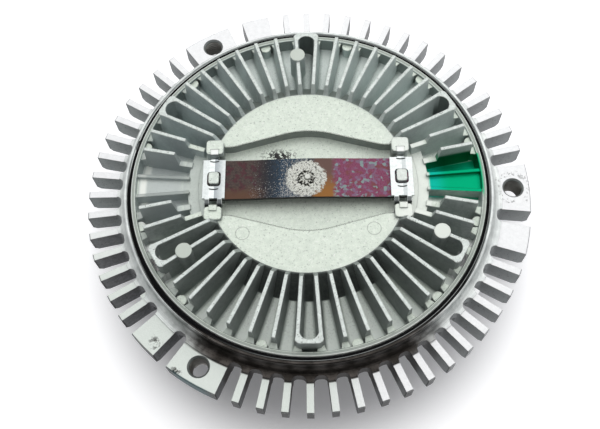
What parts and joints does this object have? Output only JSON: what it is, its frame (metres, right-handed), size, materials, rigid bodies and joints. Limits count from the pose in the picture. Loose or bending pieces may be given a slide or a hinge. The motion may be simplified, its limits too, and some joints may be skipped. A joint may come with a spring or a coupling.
{
  "type": "viscous fan clutch",
  "caption": "Finned aluminium viscous fan clutch: a housing turning on a shaft bearing, driven by a fluid-sheared disc and switched by a bimetal strip on the front cover.",
  "frame": {"origin": "centre of the shaft flange's rear face", "axes": "+Z along the shaft towards the finned front cover, +X along the bimetal strip through one fan hole"},
  "size_m": [0.17, 0.17, 0.0596],
  "materials": {
    "housing_cast": "sand-textured casting with bright edges",
    "cover_cast": "sand-textured casting",
    "disc_cast": "turned casting",
    "bright_steel": "bright plated spring steel",
    "shaft_steel": "turned steel",
    "bearing_steel": "ground steel",
    "cage_brass": "pressed",
    "strip_metal": "heat-tinted bimetal with a pale crust at the middle",
    "black_rubber": "matt black",
    "wiper_plastic": "glass-filled plastic"
  },
  "bodies": {
    "shaft": {"drive_shaft": "shaft_steel", "clutch_disc": "disc_cast", "disc_nut": "shaft_steel", "bearing_inner_ring": "bearing_steel"},
    "housing": {"rear_housing": "housing_cast", "front_cover": "cover_cast", "cover_seal": "black_rubber", "cover_retaining_ring": "bright_steel", "bimetal_strip": "strip_metal", "strip_clip_left": "bright_steel", "strip_clip_right": "bright_steel", "pin_seal": "black_rubber", "separator_plate": "shaft_steel", "plate_rivets": "shaft_steel", "valve_rivet": "shaft_steel", "pump_wiper": "wiper_plastic", "bearing_outer_ring": "bearing_steel", "bearing_front_shield": "bearing_steel", "bearing_rear_shield": "bearing_steel", "bearing_circlip": "shaft_steel"},
    "ball_set": {"bearing_balls": "bearing_steel", "bearing_cage": "cage_brass"},
    "pin": {"control_pin": "bright_steel"},
    "lever": {"valve_lever": "bright_steel"}
  },
  "joints": [
    {"name": "housing_spin", "type": "hinge", "parent": "shaft", "child": "housing", "pos_m": [0, 0, 0.0212], "axis": [0, 0, 1], "continuous": true},
    {"name": "ball_spin", "type": "hinge", "parent": "shaft", "child": "ball_set", "pos_m": [0, 0, 0.0212], "axis": [0, 0, 1], "continuous": true},
    {"name": "pin_slide", "type": "slide", "parent": "housing", "child": "pin", "axis": [0, 0, 1], "range_m": [0, 0.001], "deforming": ["bimetal_strip"]},
    {"name": "lever_lift", "type": "hinge", "parent": "housing", "child": "lever", "pos_m": [0, -0.018, 0.04444], "axis": [1, 0, 0], "range_deg": [0, 3.2]}
  ],
  "couplings": [
    {"joint": "ball_spin", "follows": "housing_spin", "ratio": 0.6182},
    {"joint": "lever_lift", "follows": "pin_slide", "rad_per_m": 55.5}
  ]
}
